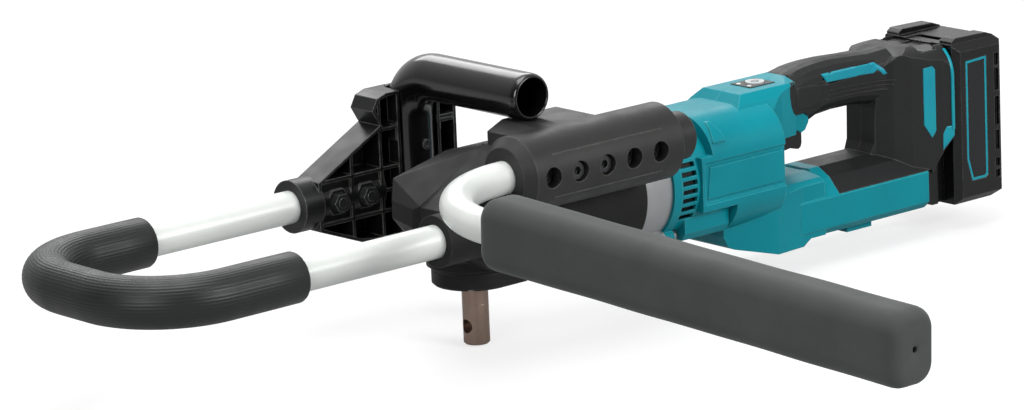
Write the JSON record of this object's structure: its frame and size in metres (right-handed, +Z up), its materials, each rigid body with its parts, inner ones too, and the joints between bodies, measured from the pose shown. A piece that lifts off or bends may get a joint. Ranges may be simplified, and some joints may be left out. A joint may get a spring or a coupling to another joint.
{
  "type": "earth auger power head",
  "caption": "Earth auger power head: vertical drive shaft under a geared head, looped front handle, reaction bar with foam sleeve, carry tube, motor and D handle with slide-on battery.",
  "frame": {"origin": "centre of the lower end face of the drive shaft", "axes": "+Z up along the drive shaft, +X from the drive shaft along the motor axis to the battery, -Y towards the side of the foam sleeve"},
  "size_m": [0.8865, 0.7144, 0.206],
  "materials": {
    "bronzed_steel": "satin, bronze-tinted",
    "gear_steel": "oiled",
    "bearing_steel": "polished",
    "seal_rubber": "matte",
    "black_coated": "fine matte coat",
    "dark_steel": "black oxide",
    "zinc_steel": "zinc plated",
    "cast_alloy": "satin die-cast",
    "black_plastic": "fine moulded texture",
    "bronze": "sintered",
    "silver_tube": "satin silver",
    "foam": "closed-cell foam, matte",
    "grip_rubber": "matte, fine ribs",
    "gloss_black": "gloss",
    "teal_plastic": "semi-gloss moulded",
    "copper": "enamelled wire",
    "button_ring": "satin",
    "soft_black": "soft-touch",
    "cell_wrap": "shrink wrap"
  },
  "bodies": {
    "frame": {"lower_bearing": "bearing_steel", "upper_bearing": "bearing_steel", "oil_seal": "seal_rubber", "bottom_plate": "black_coated", "plate_screws": "dark_steel", "gear_case": "cast_alloy", "gear_cover": "black_plastic", "pinion_bearings": "bearing_steel", "lay_bushes": "bronze", "end_plate": "cast_alloy", "clamp_holder": "black_plastic", "clamp_cap": "black_plastic", "clamp_bolts": "dark_steel", "clamp_nuts": "zinc_steel", "reaction_bar": "silver_tube", "foam_sleeve": "foam", "front_handle": "silver_tube", "handle_grip": "grip_rubber", "boss_bolt": "dark_steel", "side_bracket": "black_plastic", "bracket_bolts": "dark_steel", "bracket_nuts": "dark_steel", "carry_tube": "gloss_black", "carry_screw": "dark_steel", "motor_housing": "teal_plastic", "motor_screws": "zinc_steel", "stator": "copper", "rotor_bearings": "bearing_steel", "shell_right": "teal_plastic", "shell_left": "teal_plastic", "control_panel": "gloss_black", "handle_right": "soft_black", "handle_left": "soft_black", "grip_inlays": "teal_plastic", "column_inlays": "teal_plastic", "switch_unit": "black_plastic", "controller": "cast_alloy", "terminal_block": "black_plastic"},
    "spindle": {"drive_shaft": "bronzed_steel", "output_gear": "gear_steel"},
    "pinion": {"pinion_shaft": "gear_steel", "pinion_gear": "gear_steel"},
    "layshaft": {"lay_shaft": "gear_steel", "lay_gear": "gear_steel"},
    "rotor": {"rotor": "bearing_steel", "fan": "black_plastic"},
    "trigger": {"trigger": "black_plastic"},
    "power_button": {"power_button": "button_ring"},
    "battery": {"battery_case": "gloss_black", "battery_cover": "black_plastic", "battery_cells": "cell_wrap"},
    "latch": {"battery_latch": "black_plastic"}
  },
  "joints": [
    {"name": "spindle_turn", "type": "hinge", "parent": "frame", "child": "spindle", "pos_m": [0, 0, 0.02], "axis": [0, 0, 1], "continuous": true},
    {"name": "pinion_turn", "type": "hinge", "parent": "frame", "child": "pinion", "pos_m": [0.06, 0, 0.092], "axis": [1, 0, 0], "continuous": true},
    {"name": "layshaft_turn", "type": "hinge", "parent": "frame", "child": "layshaft", "pos_m": [0.13, 0, 0.1109], "axis": [1, 0, 0], "continuous": true},
    {"name": "rotor_turn", "type": "hinge", "parent": "frame", "child": "rotor", "pos_m": [0.2, 0, 0.092], "axis": [1, 0, 0], "continuous": true},
    {"name": "trigger_pull", "type": "slide", "parent": "frame", "child": "trigger", "axis": [0, 0, 1], "range_m": [0, 0.006], "stiffness_N_per_m": 1200},
    {"name": "button_press", "type": "slide", "parent": "frame", "child": "power_button", "axis": [0, 0, -1], "range_m": [0, 0.001], "stiffness_N_per_m": 1500},
    {"name": "battery_slide", "type": "slide", "parent": "frame", "child": "battery", "axis": [0, 0, 1], "range_m": [0, 0.12]},
    {"name": "latch_draw", "type": "slide", "parent": "battery", "child": "latch", "axis": [1, 0, 0], "range_m": [0, 0.004], "stiffness_N_per_m": 900}
  ],
  "couplings": [
    {"joint": "pinion_turn", "follows": "spindle_turn", "ratio": 2.0833},
    {"joint": "layshaft_turn", "follows": "spindle_turn", "ratio": -4.6474},
    {"joint": "rotor_turn", "follows": "spindle_turn", "ratio": 14.872}
  ]
}
